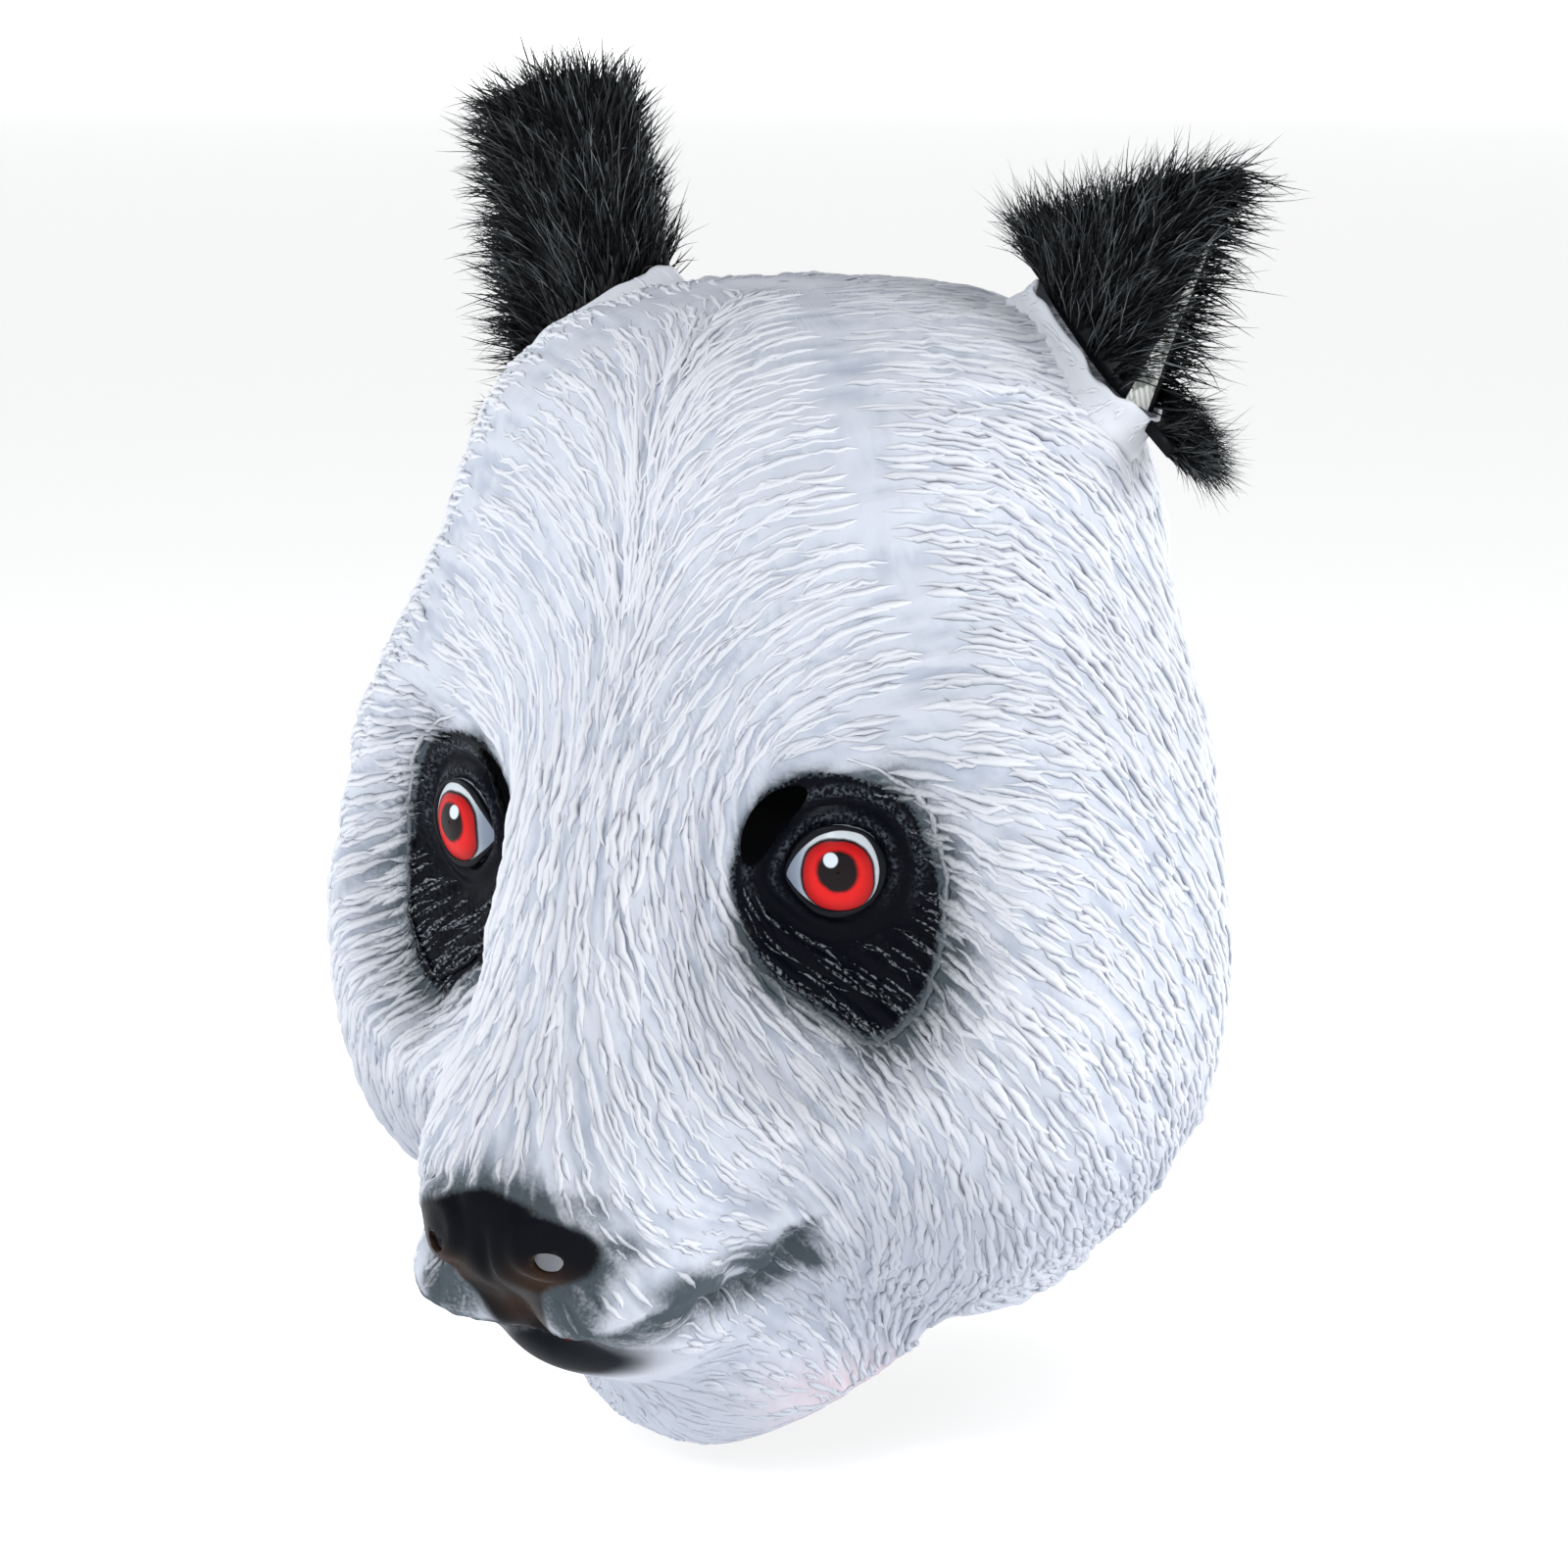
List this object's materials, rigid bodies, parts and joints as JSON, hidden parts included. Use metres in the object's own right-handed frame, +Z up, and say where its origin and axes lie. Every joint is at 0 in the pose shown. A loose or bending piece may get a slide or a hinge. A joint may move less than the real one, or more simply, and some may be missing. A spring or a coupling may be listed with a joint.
{
  "type": "latex panda costume mask",
  "caption": "Over-the-head panda mask of thin latex with sculpted fur, painted eyes, see-through eye slots, nostril holes and upright fur fabric ears.",
  "frame": {"origin": "inside of the crown, on the mid-plane, where the mask sits on top of a head", "axes": "+Z up, the face looks along -Y, +X towards the wearer's left"},
  "size_m": [0.2749, 0.2676, 0.4012],
  "materials": {
    "white_latex": "satin",
    "black_fur_fabric": "deep pile",
    "woven_backing": "matte"
  },
  "bodies": {
    "root": {"mask_shell": "white_latex", "ear_front_left": "black_fur_fabric", "ear_front_right": "black_fur_fabric", "ear_back_left": "black_fur_fabric", "ear_back_right": "black_fur_fabric", "ear_tuft_left": "black_fur_fabric", "ear_tuft_right": "black_fur_fabric", "ear_backing_left": "woven_backing", "ear_backing_right": "woven_backing"}
  },
  "joints": []
}
